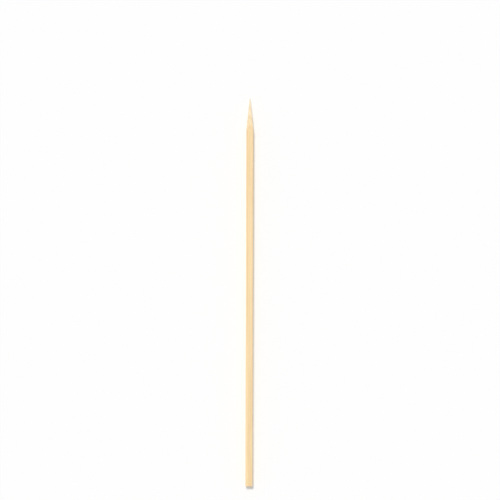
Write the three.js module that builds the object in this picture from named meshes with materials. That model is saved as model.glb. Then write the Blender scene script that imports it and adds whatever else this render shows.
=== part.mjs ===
// A square bamboo skewer, lying on one of its four flat faces with its point towards +Y.
//
// It is shaped in the order in which the real one is made. A split of bamboo is planed to a square
// bar with eased long edges, and sawn square at one end. Towards the other end each of the four
// faces is ground back, which leaves a slim four-sided point with a blunted tip. All of it is one
// loft through rounded squares, which shrink round the stick's own axis.
//
// Units are millimetres and +Z is up. The origin is on the surface that the skewer lies on, under
// the middle of its length.

import * as THREE from "three";

// The stick
const LENGTH = 350; // from the sawn end to the tip
const SIDE = 6.3; // across the flats, the same both ways
const EDGE_RADIUS = 0.35; // the four long edges, eased by the planer

// The sawn end
const SAWN_EDGE = 0.2; // how far the tumbled rim of the end is rounded over

// The ground point
const POINT_LENGTH = 29; // from the tip back to where the ground faces meet the planed ones
const TIP_SIDE = 0.6; // across the flats where the ground faces end
const TIP_EDGE_RADIUS = 0.2; // the point's four edges at that place
const TIP_DOME = 0.3; // how far the blunted tip stands beyond it

// How finely the round forms are cut into facets
const EDGE_STEPS = 6; // along the quarter round of a long edge
const RIM_STEPS = 3; // along the rounded rim of the sawn end
const TIP_STEPS = 5; // from the ground faces to the tip

const QUARTER_TURN = Math.PI / 2;

// One section of the stick: a square with rounded corners, half its side and a corner's radius given,
// at a distance along the stick from its sawn end.
function section(along, half, radius) {
  return { along, half, radius };
}

// The points of a section, all round it and always as many.
function outline({ along, half, radius }) {
  const flat = half - radius; // from the middle of a side to where its corner rounds
  const points = [];
  for (let corner = 0; corner < 4; corner++) {
    const centre = new THREE.Vector3(flat, 0, flat);
    centre.applyAxisAngle(new THREE.Vector3(0, 1, 0), -corner * QUARTER_TURN);
    for (let step = 0; step <= EDGE_STEPS; step++) {
      const turn = (corner + step / EDGE_STEPS) * QUARTER_TURN;
      points.push(
        new THREE.Vector3(
          centre.x + radius * Math.cos(turn),
          along,
          centre.z + radius * Math.sin(turn),
        ),
      );
    }
  }
  return points;
}

// The sawn end's rounded rim, from its flat face out to the full side.
function rimSections() {
  const sections = [];
  for (let step = 0; step <= RIM_STEPS; step++) {
    const turn = (step / RIM_STEPS) * QUARTER_TURN;
    const inset = SAWN_EDGE * (1 - Math.sin(turn));
    const along = SAWN_EDGE * (1 - Math.cos(turn));
    sections.push(section(along, SIDE / 2 - inset, EDGE_RADIUS - inset));
  }
  return sections;
}

// The ground point, from the full side to the last small section short of the tip.
function pointSections() {
  const sections = [section(LENGTH - POINT_LENGTH, SIDE / 2, EDGE_RADIUS)];
  for (let step = 0; step < TIP_STEPS; step++) {
    const turn = (step / TIP_STEPS) * QUARTER_TURN;
    const shrink = Math.cos(turn);
    const along = LENGTH - TIP_DOME * (1 - Math.sin(turn));
    sections.push(section(along, (TIP_SIDE / 2) * shrink, TIP_EDGE_RADIUS * shrink));
  }
  return sections;
}

// A closed skin over sections that follow one another from the sawn end to the tip. Each end closes
// on a point of the axis.
function loft(sections) {
  const rings = sections.map(outline);
  const around = rings[0].length;
  const points = rings.flat();
  const sawnCentre = points.push(new THREE.Vector3(0, 0, 0)) - 1;
  const tip = points.push(new THREE.Vector3(0, LENGTH, 0)) - 1;
  const lastRing = (rings.length - 1) * around;
  const triangles = [];
  for (let i = 0; i < around; i++) {
    const next = (i + 1) % around;
    triangles.push(sawnCentre, i, next);
    for (let ring = 0; ring < lastRing; ring += around) {
      const beyond = ring + around;
      triangles.push(ring + i, beyond + i, beyond + next);
      triangles.push(ring + i, beyond + next, ring + next);
    }
    triangles.push(tip, lastRing + next, lastRing + i);
  }
  const geometry = new THREE.BufferGeometry().setFromPoints(points);
  geometry.setIndex(triangles);
  geometry.computeVertexNormals();
  return geometry;
}

const bamboo = new THREE.MeshStandardMaterial({
  color: 0xf7dbab,
  roughness: 0.6,
  metalness: 0,
});

const stick = new THREE.Mesh(loft([...rimSections(), ...pointSections()]), bamboo);
stick.name = "skewer";
stick.position.set(0, -LENGTH / 2, SIDE / 2);

const skewer = new THREE.Group();
skewer.add(stick);

export default skewer;
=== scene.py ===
# The bamboo skewer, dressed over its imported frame: a planed square stick with cut bamboo fibres
# on every face, a ground four-sided point and a sawn end, lying on a white table.

import math

import bpy
import numpy as np
from mathutils import Matrix, Vector


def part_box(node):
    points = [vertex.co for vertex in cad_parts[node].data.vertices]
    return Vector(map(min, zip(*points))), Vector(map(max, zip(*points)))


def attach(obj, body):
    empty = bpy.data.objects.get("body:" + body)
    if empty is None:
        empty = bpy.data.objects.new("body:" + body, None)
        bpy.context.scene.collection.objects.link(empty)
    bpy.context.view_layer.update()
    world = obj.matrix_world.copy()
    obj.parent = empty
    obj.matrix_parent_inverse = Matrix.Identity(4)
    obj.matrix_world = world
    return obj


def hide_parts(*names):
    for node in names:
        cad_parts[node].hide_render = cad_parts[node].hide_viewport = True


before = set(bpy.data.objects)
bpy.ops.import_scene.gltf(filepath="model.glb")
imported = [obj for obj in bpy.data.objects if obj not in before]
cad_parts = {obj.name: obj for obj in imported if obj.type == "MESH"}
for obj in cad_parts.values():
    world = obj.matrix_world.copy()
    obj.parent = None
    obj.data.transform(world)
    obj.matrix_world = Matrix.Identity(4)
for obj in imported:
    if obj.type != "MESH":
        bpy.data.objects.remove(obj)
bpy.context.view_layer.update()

MM = 0.001
QUARTER_TURN = math.pi / 2.0
WHOLE_TURN = math.pi * 2.0

# The stick in millimetres. Its length and side are the frame's, and the rest is what the frame's
# solid was made with.
low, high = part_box("skewer")
LENGTH = round((high.y - low.y) / MM, 3)
HALF_SIDE = round((high.z - low.z) / MM / 2.0, 3)
EDGE_RADIUS = 0.35
SAWN_EDGE = 0.2
POINT_LENGTH = 29.0
TIP_HALF = 0.3
TIP_EDGE_RADIUS = 0.2
TIP_DOME = 0.3
SHOULDER = LENGTH - POINT_LENGTH

# How softly the stick goes over into the ground point, in millimetres
SHOULDER_BLEND = 0.05

# What only looks random starts from these
BUNDLE_SEED = 7
SWAY_SEED_X = 21
SWAY_SEED_Z = 7
BRUISE_SEED = 31
SAW_MARK_SEED = 41
SHOULDER_SEED = 51

# How finely the skin is cut: columns round the stick, rings at its ends, and millimetres from ring
# to ring along it. The rings are close together up to NEAR_END from the sawn face and again from
# NEAR_SHOULDER ahead of the shoulder. The sawn face's inmost ring is INMOST_RING of a step wide.
FLAT_COLUMNS = 48
CORNER_COLUMNS = 8
END_RINGS = 40
RIM_RINGS = 6
NEAR_END_RINGS = 12
TIP_RINGS = 7
INMOST_RING = 0.6
BODY_STEP = 1.25
POINT_STEP = 0.45
NEAR_END = 4.0
NEAR_SHOULDER = 3.0


# Small helpers

# A slow swing is the sum of a few waves, each a little off its share of the period
SWING_WAVES = 4
SWING_STRETCH = (0.8, 1.2)
SWING_HEIGHT = 1.6


def smooth_step(start, end, value):
    part = np.clip((value - start) / (end - start), 0.0, 1.0)
    return part * part * (3.0 - 2.0 * part)


def wander(position, period, seed):
    """A slow smooth swing between about -1 and 1, the same on every run."""
    local = np.random.default_rng(seed)
    total = np.zeros_like(position)
    for order in range(1, SWING_WAVES + 1):
        phase = local.uniform(0.0, WHOLE_TURN)
        stretch = local.uniform(*SWING_STRETCH)
        total += np.sin(WHOLE_TURN * order * stretch * position / period + phase) / order
    return total / SWING_HEIGHT


# The wood: fibre bundles that run along the stick

# The fibre bundles in millimetres: how far they are planted round the axis, how far apart they
# stand in the culm's inner and outer wood, and how they lean and sway off the stick's own line
PLANTED_REACH = 6.0
INNER_SPACING = 1.08
OUTER_SPACING = 0.58
LEAN_X = 0.0016
LEAN_Z = -0.0015
SWAY_X = 0.10
SWAY_Z = 0.12
SWAY_PERIOD_X = 310.0
SWAY_PERIOD_Z = 260.0

# How evenly the bundles are planted, in shares of the spacing, how far they are turned either way,
# and how full the colour of their sheaths is
STEP_TO_NEXT_ROW = 0.9
STEP_IN_ROW = 1.08
SHIFT_X = 0.16
SHIFT_Z = 0.12
BUNDLE_RADIUS = (0.30, 0.37)
BUNDLE_TURN = 0.5
SHEATH_TONE = (0.45, 1.0)

# A bundle's drawing, in shares of its radius: the caps of fibre and the pair of open vessels
BUNDLE_REACH = 1.3
SIDE_CAP_PLACE = 0.42
END_CAP_PLACE = 0.5
END_CAP_LESS = 0.08
CAP_FULL = 0.32
CAP_FADED = 0.62
VESSEL_PLACE = 0.36
VESSEL_OPEN = 0.14
VESSEL_SHUT = 0.28


def plant_bundles():
    """Centres, radii, turns and tones of the bundles in a cross-section wider than the stick.

    They are small and close together towards +X, the side that was next to the culm's skin.
    """
    local = np.random.default_rng(BUNDLE_SEED)
    rows = []
    x = -PLANTED_REACH
    while x < PLANTED_REACH:
        towards_skin = (x + PLANTED_REACH) / (2.0 * PLANTED_REACH)
        spacing = INNER_SPACING + (OUTER_SPACING - INNER_SPACING) * towards_skin
        z = -PLANTED_REACH + local.uniform(0.0, spacing)
        while z < PLANTED_REACH:
            radius = spacing * local.uniform(*BUNDLE_RADIUS)
            centre_x = x + local.uniform(-SHIFT_X, SHIFT_X) * spacing
            centre_z = z + local.uniform(-SHIFT_Z, SHIFT_Z) * spacing
            turn = local.uniform(-BUNDLE_TURN, BUNDLE_TURN)
            tone = local.uniform(*SHEATH_TONE)
            rows.append((centre_x, centre_z, radius, turn, tone))
            z += spacing * STEP_IN_ROW
        x += spacing * STEP_TO_NEXT_ROW
    return np.array(rows)


BUNDLES = plant_bundles()


def wood_at(x, y, z):
    """How much of a fibre sheath, and of an open vessel, is at each point of the stick.

    A bundle has four caps of fibre, two beside it and two beyond its pair of vessels.
    """
    in_wood_x = x + LEAN_X * y + SWAY_X * wander(y, SWAY_PERIOD_X, SWAY_SEED_X)
    in_wood_z = z + LEAN_Z * y + SWAY_Z * wander(y, SWAY_PERIOD_Z, SWAY_SEED_Z)
    sheath = np.zeros_like(x)
    vessel = np.zeros_like(x)
    for centre_x, centre_z, radius, turn, tone in BUNDLES:
        dx = in_wood_x - centre_x
        dz = in_wood_z - centre_z
        near = np.hypot(dx, dz) < BUNDLE_REACH * radius
        if not near.any():
            continue
        across = (dx[near] * math.cos(turn) + dz[near] * math.sin(turn)) / radius
        beside = (dz[near] * math.cos(turn) - dx[near] * math.sin(turn)) / radius
        to_side_cap = np.hypot(np.abs(across) - SIDE_CAP_PLACE, beside)
        to_end_cap = np.hypot(across, np.abs(beside) - END_CAP_PLACE) + END_CAP_LESS
        to_vessel = np.hypot(across, np.abs(beside) - VESSEL_PLACE)
        cap = tone * (1.0 - smooth_step(CAP_FULL, CAP_FADED, np.minimum(to_side_cap, to_end_cap)))
        hole = 1.0 - smooth_step(VESSEL_OPEN, VESSEL_SHUT, to_vessel)
        sheath[near] = np.maximum(sheath[near], cap)
        vessel[near] = np.maximum(vessel[near], hole)
    return sheath, vessel


# The stick's form

def columns():
    """Where each column of the skin lies on a section: which corner it belongs to, how far
    along the flat before it, and how far round its quarter turn."""
    places = []
    for corner in range(4):
        for step in range(FLAT_COLUMNS):
            places.append((corner, step / FLAT_COLUMNS, 0.0))
        for step in range(CORNER_COLUMNS):
            places.append((corner, 1.0, step / CORNER_COLUMNS))
    return np.array(places)


COLUMNS = columns()


def ring_points(half, radius):
    """The x and z of a rounded square at every column, and the outward direction there."""
    flat = half - radius
    turn = COLUMNS[:, 2] * QUARTER_TURN
    out_x = np.cos(turn)
    out_z = np.sin(turn)
    local_x = flat + radius * out_x
    local_z = flat * (2.0 * COLUMNS[:, 1] - 1.0) + radius * out_z
    swing = COLUMNS[:, 0] * QUARTER_TURN
    cos = np.cos(swing)
    sin = np.sin(swing)
    x = local_x * cos - local_z * sin
    z = local_x * sin + local_z * cos
    return x, z, out_x * cos - out_z * sin, out_x * sin + out_z * cos


def rim_stations():
    """The rounded rim of the sawn end, from its flat face out to the full side."""
    rows = []
    for step in range(RIM_RINGS + 1):
        turn = step / RIM_RINGS * QUARTER_TURN
        inset = SAWN_EDGE * (1.0 - math.sin(turn))
        rows.append((SAWN_EDGE * (1.0 - math.cos(turn)), HALF_SIDE - inset, EDGE_RADIUS - inset))
    return rows


def body_stations():
    """The square stick, cut finely near its sawn end and coarsely beyond."""
    start_of_point = SHOULDER - NEAR_SHOULDER
    rings = int((start_of_point - NEAR_END) / BODY_STEP)
    near_end = np.linspace(SAWN_EDGE, NEAR_END, NEAR_END_RINGS)[1:]
    beyond = np.linspace(NEAR_END, start_of_point, rings)[1:]
    return [(along, HALF_SIDE, EDGE_RADIUS) for along in np.concatenate([near_end, beyond])]


def point_stations():
    """The ground point, with its shoulder blended a little into the stick."""
    start = SHOULDER - NEAR_SHOULDER
    end = LENGTH - TIP_DOME
    rows = []
    for along in np.linspace(start, end, int((end - start) / POINT_STEP))[1:]:
        part = (along - SHOULDER) / (end - SHOULDER)
        ground = HALF_SIDE + (TIP_HALF - HALF_SIDE) * part
        half = 0.5 * (HALF_SIDE + ground - math.hypot(HALF_SIDE - ground, SHOULDER_BLEND))
        radius = EDGE_RADIUS + (TIP_EDGE_RADIUS - EDGE_RADIUS) * max(part, 0.0)
        rows.append((along, max(half, TIP_HALF), radius))
    return rows


def tip_stations():
    """The blunted tip."""
    rows = []
    for step in range(1, TIP_RINGS):
        turn = step / TIP_RINGS * QUARTER_TURN
        shrink = math.cos(turn)
        along = LENGTH - TIP_DOME * (1.0 - math.sin(turn))
        rows.append((along, TIP_HALF * shrink, TIP_EDGE_RADIUS * shrink))
    return rows


# Its surface

# Depths of the surface in millimetres, on the planed and ground faces and on the sawn one
SIDE_SOFT_DEPTH = 0.012
SIDE_PORE_DEPTH = 0.045
SAWN_SOFT_DEPTH = 0.015
SAWN_PORE_DEPTH = 0.09
SAW_MARK_DEPTH = 0.018
SAW_MARK_PITCH = 0.55
SAW_MARK_SLANT = 0.12
SAW_MARK_SWAY = 0.05
SAW_MARK_SWAY_PERIOD = 4.0

# Bruises on the long edges and chips in the sawn rim: how many, how wide in quarters of the way
# round, and how far they reach and how deep they are in millimetres
EDGE_BRUISES = 34
BRUISE_WIDTH = 0.10
BRUISE_REACH = (1.3, 3.4)
BRUISE_DEPTH = (0.04, 0.13)
RIM_CHIPS = 12
CHIP_WIDTH = (0.05, 0.10)
CHIP_REACH = (0.3, 0.9)
CHIP_DEPTH = (0.03, 0.10)

# Where the relief calms down: the share of it that is left at the tip and the millimetres over which
# it falls to that, the share of the half side that it never exceeds, and on the sawn face the ring,
# as a share of the outline, beyond which the chips set in, and the share over which the pits fade
TIP_RELIEF = 0.25
TIP_CALM = 10.0
DEEPEST_SHARE = 0.35
CHIPPED_BEYOND = 0.82
RIM_CALM = 0.12

# How pale freshly cut wood is, where the tip is 1: on the sawn face and just round its rim, and on
# the ground faces, where it sets in at a ragged line and grows, in millimetres past the shoulder.
# The growth towards the tip is partly freshly ground wood and partly painted glare.
# The line's period counts a face as 1 and keeps the faces so far apart that each has its own line.
SAWN_FRESHNESS = 0.25
SAWN_FRESH_REACH = 0.12
SHOULDER_FRESHNESS = 0.3
FRESH_FROM = (-1.0, 2.5)
FRESHER_AND_GLARE_FROM = (2.0, 17.0)
RAGGED = 1.5
RAGGED_PERIOD = 1.3
FACE_APART = 4.0

# How much of a sheath shows at the two points that close the skin
CLOSING_SHEATH = 0.2


def bruise_places():
    """Bruises on the four long edges, and chips where the saw came out through the rim: the place
    round the stick and along it, the width, the reach along it, and the depth."""
    local = np.random.default_rng(BRUISE_SEED)
    places = []
    for _ in range(EDGE_BRUISES):
        along = local.uniform(NEAR_END, SHOULDER)
        reach = local.uniform(*BRUISE_REACH)
        edge = local.integers(0, 4)
        depth = local.uniform(*BRUISE_DEPTH)
        places.append((edge, along, BRUISE_WIDTH, reach, depth))
    for _ in range(RIM_CHIPS):
        place_round = local.uniform(0.0, 4.0)
        reach = local.uniform(*CHIP_REACH)
        width = local.uniform(*CHIP_WIDTH)
        depth = local.uniform(*CHIP_DEPTH)
        places.append((place_round, 0.0, width, reach, depth))
    return places


BRUISES = bruise_places()


def bruises(along, places_round):
    """The depth of the bruises and chips in millimetres."""
    depth = np.zeros_like(along)
    for at_round, at_along, width, reach, cut in BRUISES:
        off = np.abs(places_round - at_round) % 4.0
        off = np.minimum(off, 4.0 - off)
        there = np.exp(-((along - at_along) / reach) ** 2 - (off / width) ** 2)
        depth = np.maximum(depth, cut * there)
    return depth


def columns_round():
    """Where each column is round the stick: the middles of the four edges are at 0, 1, 2 and 3."""
    edge_share = 0.15
    along_flat = (COLUMNS[:, 1] - 1.0) * (1.0 - edge_share)
    round_edge = (COLUMNS[:, 2] - 0.5) * edge_share
    return COLUMNS[:, 0] + along_flat + round_edge


def relief(along, places_round, sheath, vessel):
    """How far the real surface lies below the planed one, in millimetres."""
    grain = SIDE_SOFT_DEPTH * (1.0 - sheath) + SIDE_PORE_DEPTH * vessel
    clear_of_tip = smooth_step(0.0, TIP_CALM, LENGTH - along)
    left = TIP_RELIEF + (1.0 - TIP_RELIEF) * clear_of_tip
    return (grain + bruises(along, places_round)) * left


def fresh_cut_and_glare(along):
    """How pale the wood is where the belt and the saw have bared it. The point pales from a ragged
    line at its shoulder towards its tip, partly as freshly ground wood and partly as painted glare."""
    across_faces = FACE_APART * COLUMNS[:, 0] + COLUMNS[:, 1]
    ragged = RAGGED * wander(across_faces, RAGGED_PERIOD, SHOULDER_SEED)
    past_shoulder = along - SHOULDER + ragged
    # The paling that grows towards the tip is partly freshly ground wood and partly painted glare
    fresher_with_glare = smooth_step(*FRESHER_AND_GLARE_FROM, past_shoulder)
    fresh_and_glare_to_tip = SHOULDER_FRESHNESS + (1.0 - SHOULDER_FRESHNESS) * fresher_with_glare
    ground = smooth_step(*FRESH_FROM, past_shoulder) * fresh_and_glare_to_tip
    sawn = SAWN_FRESHNESS * (1.0 - smooth_step(0.0, SAWN_FRESH_REACH, along))
    return np.maximum(ground, sawn)


def side_skin():
    """Every ring from the rim to the tip in millimetres, with its wood and its freshness, which towards
    the tip is partly painted glare, and how far over the surface it lies from the rim."""
    places_round = columns_round()
    points = []
    marks = []
    distance = [0.0]
    rows = rim_stations() + body_stations() + point_stations() + tip_stations()
    for number, (along, half, radius) in enumerate(rows):
        x, z, out_x, out_z = ring_points(half, radius)
        y = np.full_like(x, along)
        sheath, vessel = wood_at(x, y, z)
        depth = np.minimum(relief(y, places_round, sheath, vessel), DEEPEST_SHARE * half)
        points.append(np.column_stack([x - depth * out_x, y, z - depth * out_z]))
        marks.append(np.column_stack([sheath, vessel, fresh_cut_and_glare(along)]))
        if number > 0:
            before = rows[number - 1]
            distance.append(distance[-1] + math.hypot(along - before[0], half - before[1]))
    return np.array(points), np.array(marks), np.array(distance)


def end_skin(rim):
    """The sawn face with its pits and saw marks, as rings that grow from the middle to the rim.
    The chips in the rim fade out over the outer rings."""
    whole_x, whole_z, _, _ = ring_points(HALF_SIDE - SAWN_EDGE, EDGE_RADIUS - SAWN_EDGE)
    points = []
    marks = []
    for step in range(END_RINGS, 0, -1):
        shrink = 1.0 - step / (END_RINGS + INMOST_RING)
        chipped = smooth_step(CHIPPED_BEYOND, 1.0, shrink)
        x = whole_x * shrink + (rim[:, 0] - whole_x) * chipped
        z = whole_z * shrink + (rim[:, 2] - whole_z) * chipped
        sheath, vessel = wood_at(x, np.zeros_like(x), z)
        sway = SAW_MARK_SWAY * wander(x, SAW_MARK_SWAY_PERIOD, SAW_MARK_SEED)
        across_marks = z + SAW_MARK_SLANT * x + sway
        saw = 0.5 + 0.5 * np.sin(WHOLE_TURN * across_marks / SAW_MARK_PITCH)
        depth = SAWN_SOFT_DEPTH * (1.0 - sheath) + SAWN_PORE_DEPTH * vessel + SAW_MARK_DEPTH * saw
        y = depth * smooth_step(0.0, RIM_CALM, 1.0 - shrink)
        points.append(np.column_stack([x, y, z]))
        marks.append(np.column_stack([sheath, vessel, np.full_like(x, SAWN_FRESHNESS)]))
    return np.array(points), np.array(marks)


# The skin's faces and their places on the picture plane

# The picture plane that the skin is unrolled on, in millimetres
STRIPS = 4
STRIP_GAP = 0.5
PICTURE_SIDE = 101.0
PICTURE_MARGIN = 0.3
END_FACE_PLACE = (95.0, 50.0)
END_FACE_SCALE = 1.75

# The corners of a four-sided face, as steps to the next ring and to the next column
CORNERS = ((0, 0), (1, 0), (1, 1), (0, 1))


def skin_faces(rings, count):
    """Four-sided faces between rings that follow one another, turned outwards."""
    ring, column = np.meshgrid(np.arange(rings - 1), np.arange(count), indexing="ij")
    corners = [(ring + along) * count + (column + turn) % count for along, turn in CORNERS]
    return np.stack(corners, axis=-1).reshape(-1, 4)


def end_picture(points):
    """Where the sawn face lies on the picture plane, for each of its faces' corners."""
    count = points.shape[1]
    ring, column = np.meshgrid(np.arange(len(points) - 1), np.arange(count), indexing="ij")
    places = []
    for along, turn in CORNERS:
        corner = points[ring + along, (column + turn) % count]
        places.append(corner[..., [0, 2]] * END_FACE_SCALE + np.array(END_FACE_PLACE))
    return np.stack(places, axis=2).reshape(-1, 2)


def side_picture(distance):
    """Where the sides lie on the picture plane: cut into strips that lie beside one another, so
    that a baked picture is as fine along the stick as across it."""
    flat = 2.0 * (HALF_SIDE - EDGE_RADIUS)
    arc = EDGE_RADIUS * QUARTER_TURN
    around = COLUMNS[:, 0] * (flat + arc) + COLUMNS[:, 1] * flat + COLUMNS[:, 2] * arc
    around = np.append(around, 4.0 * (flat + arc))
    strip = np.minimum((distance * STRIPS / distance[-1]).astype(int), STRIPS - 1)
    start = np.array([distance[strip == number][0] for number in range(STRIPS)])
    ring, column = np.meshgrid(np.arange(len(distance) - 1), np.arange(len(COLUMNS)), indexing="ij")
    places = []
    for along, turn in CORNERS:
        across = distance[ring + along] - start[strip[ring]]
        up = strip[ring] * (around[-1] + STRIP_GAP) + around[column + turn]
        places.append(np.stack([across, up], axis=-1) + PICTURE_MARGIN)
    return np.stack(places, axis=2).reshape(-1, 2)


def fan_picture(near, after, apex):
    """The picture plane of the triangles that close an end on one point."""
    return np.stack([near, apex, after], axis=1).reshape(-1, 2)


def whole_picture(end, side, distance):
    """The picture plane of the whole skin, in the order of its faces."""
    count = end.shape[1]
    after = (np.arange(count) + 1) % count
    on_side = side_picture(distance)
    inmost = end[0][:, [0, 2]] * END_FACE_SCALE + np.array(END_FACE_PLACE)
    end_apex = np.tile(END_FACE_PLACE, (count, 1))
    outmost = on_side.reshape(-1, 4, 2)[-count:]
    tip_apex = 0.5 * (outmost[:, 1] + outmost[:, 2]) + np.array([TIP_DOME, 0.0])
    return np.concatenate(
        [
            end_picture(np.concatenate([end, side[:1]])),
            on_side,
            fan_picture(inmost[after], inmost, end_apex),
            fan_picture(outmost[:, 1], outmost[:, 2], tip_apex),
        ]
    )


# The whole skin

def closed_faces(rings, count):
    """The faces between the rings, and a fan of triangles that closes each end on one point. The
    middle of the sawn face and the tip are the two points after those of the rings."""
    column = np.arange(count)
    after = (column + 1) % count
    last = (rings - 1) * count
    middle = np.full(count, rings * count)
    tip = middle + 1
    end_fan = np.stack([after, middle, column], axis=1)
    tip_fan = np.stack([last + column, tip, last + after], axis=1)
    return skin_faces(rings, count).tolist() + end_fan.tolist() + tip_fan.tolist()


def closed_skin():
    """One closed skin: the sawn face from its middle out, the rim, the sides and the tip. Its
    points in millimetres, how much sheath, vessel and freshness each has, the freshness towards
    the tip being partly painted glare, its faces, and the picture plane."""
    side, side_marks, distance = side_skin()
    end, end_marks = end_skin(side[0])
    rings = np.concatenate([end, side])
    closing = [[0.0, end[0, :, 1].mean(), 0.0], [0.0, LENGTH, 0.0]]
    closing_marks = [[CLOSING_SHEATH, 0.0, SAWN_FRESHNESS], [CLOSING_SHEATH, 0.0, 1.0]]
    points = np.concatenate([rings.reshape(-1, 3), closing])
    marks = np.concatenate([end_marks.reshape(-1, 3), side_marks.reshape(-1, 3), closing_marks])
    faces = closed_faces(len(rings), rings.shape[1])
    return points, marks, faces, whole_picture(end, side, distance)


def build_stick():
    """The stick as one mesh that lies on the table, with its wood as marks on its points."""
    points, marks, faces, picture = closed_skin()
    placed = points + np.array([0.0, -LENGTH / 2.0, HALF_SIDE])
    mesh = bpy.data.meshes.new("skewer_wood")
    mesh.from_pydata((placed * MM).tolist(), [], faces)
    layer = mesh.uv_layers.new(name="OFBake")
    layer.data.foreach_set("uv", (picture / PICTURE_SIDE).astype(np.float32).ravel())
    # The fresh mark is freshly cut wood, and towards the tip partly painted glare
    for number, name in enumerate(("sheath", "vessel", "fresh_and_glare")):
        layer = mesh.attributes.new(name=name, type="FLOAT", domain="POINT")
        layer.data.foreach_set("value", marks[:, number].astype(np.float32))
    mesh.polygons.foreach_set("use_smooth", [True] * len(mesh.polygons))
    mesh.update()
    stick = bpy.data.objects.new("skewer_wood", mesh)
    bpy.context.collection.objects.link(stick)
    return stick


# Materials

# The wood's colours, linear
GROUND_PALE = (0.988, 0.770, 0.460)
GROUND_DEEP = (0.958, 0.729, 0.418)
STRAND = (0.872, 0.624, 0.332)
# Freshly cut wood's pale colour, which towards the tip also stands for painted glare
FRESH_CUT_AND_GLARE = (0.985, 0.900, 0.695)
SHEATH = (0.785, 0.522, 0.254)
HAIR = (0.650, 0.408, 0.185)
PORE = (0.530, 0.326, 0.153)

# How much of each layer's colour shows at most
STRAND_SHARE = 0.55
# The fresh layer is freshly cut wood, and towards the tip partly painted glare
FRESH_AND_GLARE_SHARE = 0.48
SHEATH_SHARE = 0.58
HAIR_SHARE = 0.36
PORE_SHARE = 0.45

# Noise per metre across the stick, along it and across it again, and the part of its range that
# each layer fades in over
BROAD_GRAIN = (95.0, 7.0, 95.0)
STRAND_GRAIN = (1500.0, 9.0, 1500.0)
HAIR_GRAIN = (4300.0, 17.0, 4300.0)
FIBRE_GRAIN = (5200.0, 26.0, 5200.0)
SCRATCH_GRAIN = (240.0, 5200.0, 240.0)
BROAD_FADE = (0.35, 0.65)
STRAND_FADE = (0.38, 0.68)
HAIR_FADE = (0.61, 0.71)
FIBRE_FADE = (0.3, 0.7)

# The wood's finish, with the height of its finest fibres in millimetres
FIBRE_SHADE = (0.940, 1.05)
FIBRE_ROUGHNESS = (0.54, 0.68)
GLOSS = 0.35
FIBRE_BUMP = 0.35
FIBRE_HEIGHT = 0.06
SCRATCH_SHARE = 0.6


class Nodes:
    """Short names for the nodes that a material or the world is made of."""

    def __init__(self, tree):
        self.tree = tree

    def add(self, kind, **settings):
        node = self.tree.nodes.new(kind)
        for name, value in settings.items():
            setattr(node, name, value)
        return node

    def link(self, source, target):
        self.tree.links.new(source, target)

    def feed(self, value, target):
        """Links an output to a socket, or sets a plain number or colour on it."""
        if isinstance(value, float):
            target.default_value = value
        elif isinstance(value, tuple):
            target.default_value = (*value, 1.0)
        else:
            self.link(value, target)

    def attribute(self, name):
        return self.add("ShaderNodeAttribute", attribute_name=name).outputs["Fac"]

    def noise(self, scale, detail, roughness=0.55):
        """Noise over the object's own coordinates, with a scale for each axis, per metre."""
        place = self.add("ShaderNodeTexCoord")
        stretch = self.add("ShaderNodeMapping")
        stretch.inputs["Scale"].default_value = scale
        noise = self.add("ShaderNodeTexNoise")
        noise.inputs["Scale"].default_value = 1.0
        noise.inputs["Detail"].default_value = detail
        noise.inputs["Roughness"].default_value = roughness
        self.link(place.outputs["Object"], stretch.inputs["Vector"])
        self.link(stretch.outputs["Vector"], noise.inputs["Vector"])
        return noise.outputs["Fac"]

    def remap(self, value, source, target):
        """Spreads one range of a value over another. Each range is its start and its end."""
        node = self.add("ShaderNodeMapRange")
        self.link(value, node.inputs["Value"])
        node.inputs["From Min"].default_value = source[0]
        node.inputs["From Max"].default_value = source[1]
        node.inputs["To Min"].default_value = target[0]
        node.inputs["To Max"].default_value = target[1]
        return node.outputs["Result"]

    def math(self, operation, first, second):
        node = self.add("ShaderNodeMath", operation=operation)
        self.feed(first, node.inputs[0])
        self.feed(second, node.inputs[1])
        return node.outputs["Value"]

    def mix(self, amount, first, second, blend="MIX"):
        """A mix of two colours. Its colour sockets are numbers 6 and 7 in and 2 out."""
        node = self.add("ShaderNodeMix", data_type="RGBA", blend_type=blend)
        self.feed(amount, node.inputs["Factor"])
        self.feed(first, node.inputs[6])
        self.feed(second, node.inputs[7])
        return node.outputs[2]


def wood_colour(nodes, fibres, fresh_and_glare):
    """Pale ground tissue with strands, fibre sheaths, single dark hairs and open vessels."""
    broad = nodes.noise(BROAD_GRAIN, detail=3.0)
    strands = nodes.noise(STRAND_GRAIN, detail=3.0, roughness=0.6)
    hairs = nodes.noise(HAIR_GRAIN, detail=2.0, roughness=0.5)
    sheath = nodes.attribute("sheath")
    vessel = nodes.attribute("vessel")
    ground = nodes.mix(nodes.remap(broad, BROAD_FADE, (0.0, 1.0)), GROUND_PALE, GROUND_DEEP)
    streaked = nodes.mix(nodes.remap(strands, STRAND_FADE, (0.0, STRAND_SHARE)), ground, STRAND)
    # Paler freshly cut wood, which towards the tip is partly painted glare
    bared = nodes.mix(nodes.math("MULTIPLY", fresh_and_glare, FRESH_AND_GLARE_SHARE), streaked, FRESH_CUT_AND_GLARE)
    sheathed = nodes.mix(nodes.math("MULTIPLY", sheath, SHEATH_SHARE), bared, SHEATH)
    haired = nodes.mix(nodes.remap(hairs, HAIR_FADE, (0.0, HAIR_SHARE)), sheathed, HAIR)
    pored = nodes.mix(nodes.math("MULTIPLY", vessel, PORE_SHARE), haired, PORE)
    shade = nodes.remap(fibres, FIBRE_FADE, FIBRE_SHADE)
    grey = nodes.add("ShaderNodeCombineColor")
    for socket in grey.inputs[:3]:
        nodes.link(shade, socket)
    return nodes.mix(1.0, pored, grey.outputs["Color"], blend="MULTIPLY")


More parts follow.
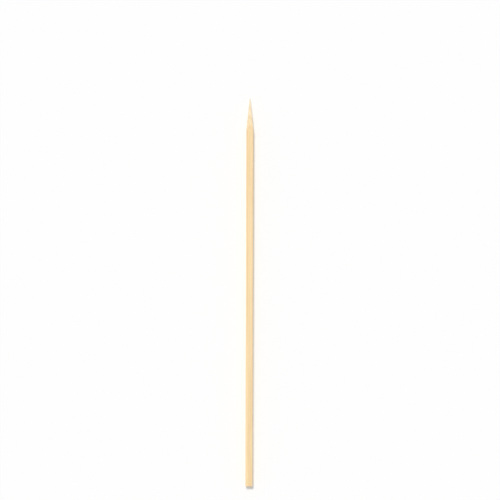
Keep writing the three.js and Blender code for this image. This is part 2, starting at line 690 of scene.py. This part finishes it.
def bamboo():
    """Bare bamboo, cut by plane, belt and saw."""
    material = bpy.data.materials.new("bamboo")
    material.use_nodes = True
    nodes = Nodes(material.node_tree)
    shader = material.node_tree.nodes["Principled BSDF"]
    fibres = nodes.noise(FIBRE_GRAIN, detail=6.0, roughness=0.7)
    # How freshly cut the wood is, with painted glare as part of its paling towards the tip
    fresh_and_glare = nodes.attribute("fresh_and_glare")
    nodes.link(wood_colour(nodes, fibres, fresh_and_glare), shader.inputs["Base Color"])
    nodes.link(nodes.remap(fibres, FIBRE_FADE, FIBRE_ROUGHNESS), shader.inputs["Roughness"])
    shader.inputs["Specular IOR Level"].default_value = GLOSS

    scratches = nodes.noise(SCRATCH_GRAIN, detail=2.0)
    scratch_height = nodes.math("MULTIPLY", nodes.math("MULTIPLY", scratches, fresh_and_glare), SCRATCH_SHARE)
    bump = nodes.add("ShaderNodeBump")
    bump.inputs["Strength"].default_value = FIBRE_BUMP
    bump.inputs["Distance"].default_value = FIBRE_HEIGHT * MM
    nodes.link(nodes.math("ADD", fibres, scratch_height), bump.inputs["Height"])
    nodes.link(bump.outputs["Normal"], shader.inputs["Normal"])
    return material


def seen_or_lit(nodes, lit, seen):
    """One strength for what the camera, gloss and glass see, and another for all else."""
    path = nodes.add("ShaderNodeLightPath")
    looks = nodes.math("ADD", path.outputs["Is Camera Ray"], path.outputs["Is Glossy Ray"])
    looks = nodes.math("ADD", looks, path.outputs["Is Transmission Ray"])
    return nodes.remap(looks, (0.0, 1.0), (lit, seen))


def table_white():
    """White board that shows as white paper and still takes the stick's shadow."""
    material = bpy.data.materials.new("table_white")
    material.use_nodes = True
    nodes = Nodes(material.node_tree)
    shader = material.node_tree.nodes["Principled BSDF"]
    nodes.feed(TABLE_WHITE, shader.inputs["Base Color"])
    nodes.feed(TABLE_ROUGHNESS, shader.inputs["Roughness"])
    nodes.feed(0.0, shader.inputs["Specular IOR Level"])
    nodes.feed(WHITE, shader.inputs["Emission Color"])
    nodes.feed(seen_or_lit(nodes, 0.0, TABLE_GLOW), shader.inputs["Emission Strength"])
    return material


# The studio

# The photograph's framing: where the stick's two ends lie in pixels of its 500 by 500
FRAME_PIXELS = 500.0
TIP_PIXEL = (249.99, 98.5)
SAWN_PIXEL = (248.88, 486.0)

# The camera's lens and sensor, and the height above the table of the outline that it sees, all in
# millimetres, and how far it sees in metres
LENS = 85.0
SENSOR = 36.0
OUTLINE_HEIGHT = 4.0
VIEW_END = 20.0

# How far the table reaches in metres and how far below the stick it lies in millimetres, its looks,
# and the light from all round and from the key lamp, which spreads over so many degrees
TABLE_REACH = 4.0
TABLE_DROP = 0.02
TABLE_WHITE = (0.90, 0.90, 0.90)
TABLE_ROUGHNESS = 0.9
TABLE_GLOW = 0.09
WHITE = (1.0, 1.0, 1.0)
ROUND_LEVEL = 0.50
KEY_TOWARDS = (-0.18, 0.60, 1.0)
KEY_SPREAD = 16.0
KEY_LEVEL = 0.50


def lay_table():
    """A white table, a hair below the stick so that the two never share a plane."""
    corners = [(x * TABLE_REACH, y * TABLE_REACH, 0.0) for x, y in ((-1, -1), (1, -1), (1, 1), (-1, 1))]
    mesh = bpy.data.meshes.new("table")
    mesh.from_pydata(corners, [], [(0, 1, 2, 3)])
    mesh.materials.append(table_white())
    table = bpy.data.objects.new("table", mesh)
    table.location.z = -TABLE_DROP * MM
    bpy.context.collection.objects.link(table)


def light_world():
    """Even white light from all round, which shows as plain white."""
    world = bpy.data.worlds.new("studio")
    bpy.context.scene.world = world
    world.use_nodes = True
    nodes = Nodes(world.node_tree)
    background = world.node_tree.nodes["Background"]
    nodes.feed(WHITE, background.inputs["Color"])
    nodes.feed(seen_or_lit(nodes, ROUND_LEVEL, 1.0), background.inputs["Strength"])


def hang_key():
    """One broad lamp far away, so that all of the table is lit alike. Its level is what it adds to
    a surface that faces straight up."""
    direction = Vector(KEY_TOWARDS).normalized()
    lamp = bpy.data.lights.new("key", "SUN")
    lamp.angle = math.radians(KEY_SPREAD)
    lamp.energy = KEY_LEVEL * math.pi / direction.z
    holder = bpy.data.objects.new("key", lamp)
    holder.location = direction
    holder.rotation_euler = direction.to_track_quat("Z", "Y").to_euler()
    bpy.context.collection.objects.link(holder)


def set_camera():
    """Straight down on the stick, turned and moved so that both its ends fall on their pixels."""
    across = TIP_PIXEL[0] - SAWN_PIXEL[0]
    down = SAWN_PIXEL[1] - TIP_PIXEL[1]
    metres_per_pixel = LENGTH * MM / math.hypot(across, down)
    lean = math.atan2(across, down)
    right = Vector((math.cos(lean), math.sin(lean), 0.0))
    up = Vector((-math.sin(lean), math.cos(lean), 0.0))
    centre = FRAME_PIXELS / 2.0
    off_right = (TIP_PIXEL[0] + SAWN_PIXEL[0]) / 2.0 - centre
    off_down = (TIP_PIXEL[1] + SAWN_PIXEL[1]) / 2.0 - centre
    aim = (off_down * up - off_right * right) * metres_per_pixel
    distance = FRAME_PIXELS * metres_per_pixel * LENS / SENSOR
    camera = bpy.data.cameras.new("camera")
    camera.lens = LENS
    camera.sensor_width = SENSOR
    camera.clip_end = VIEW_END
    holder = bpy.data.objects.new("camera", camera)
    turn = Matrix((right, up, Vector((0.0, 0.0, 1.0)))).transposed()
    place = aim + Vector((0.0, 0.0, distance + OUTLINE_HEIGHT * MM))
    holder.matrix_world = Matrix.Translation(place) @ turn.to_4x4()
    bpy.context.collection.objects.link(holder)
    bpy.context.scene.camera = holder


stick = build_stick()
stick.data.materials.append(bamboo())
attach(stick, "root")
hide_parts("skewer")

lay_table()
light_world()
hang_key()
set_camera()
bpy.context.scene.view_settings.view_transform = "Standard"
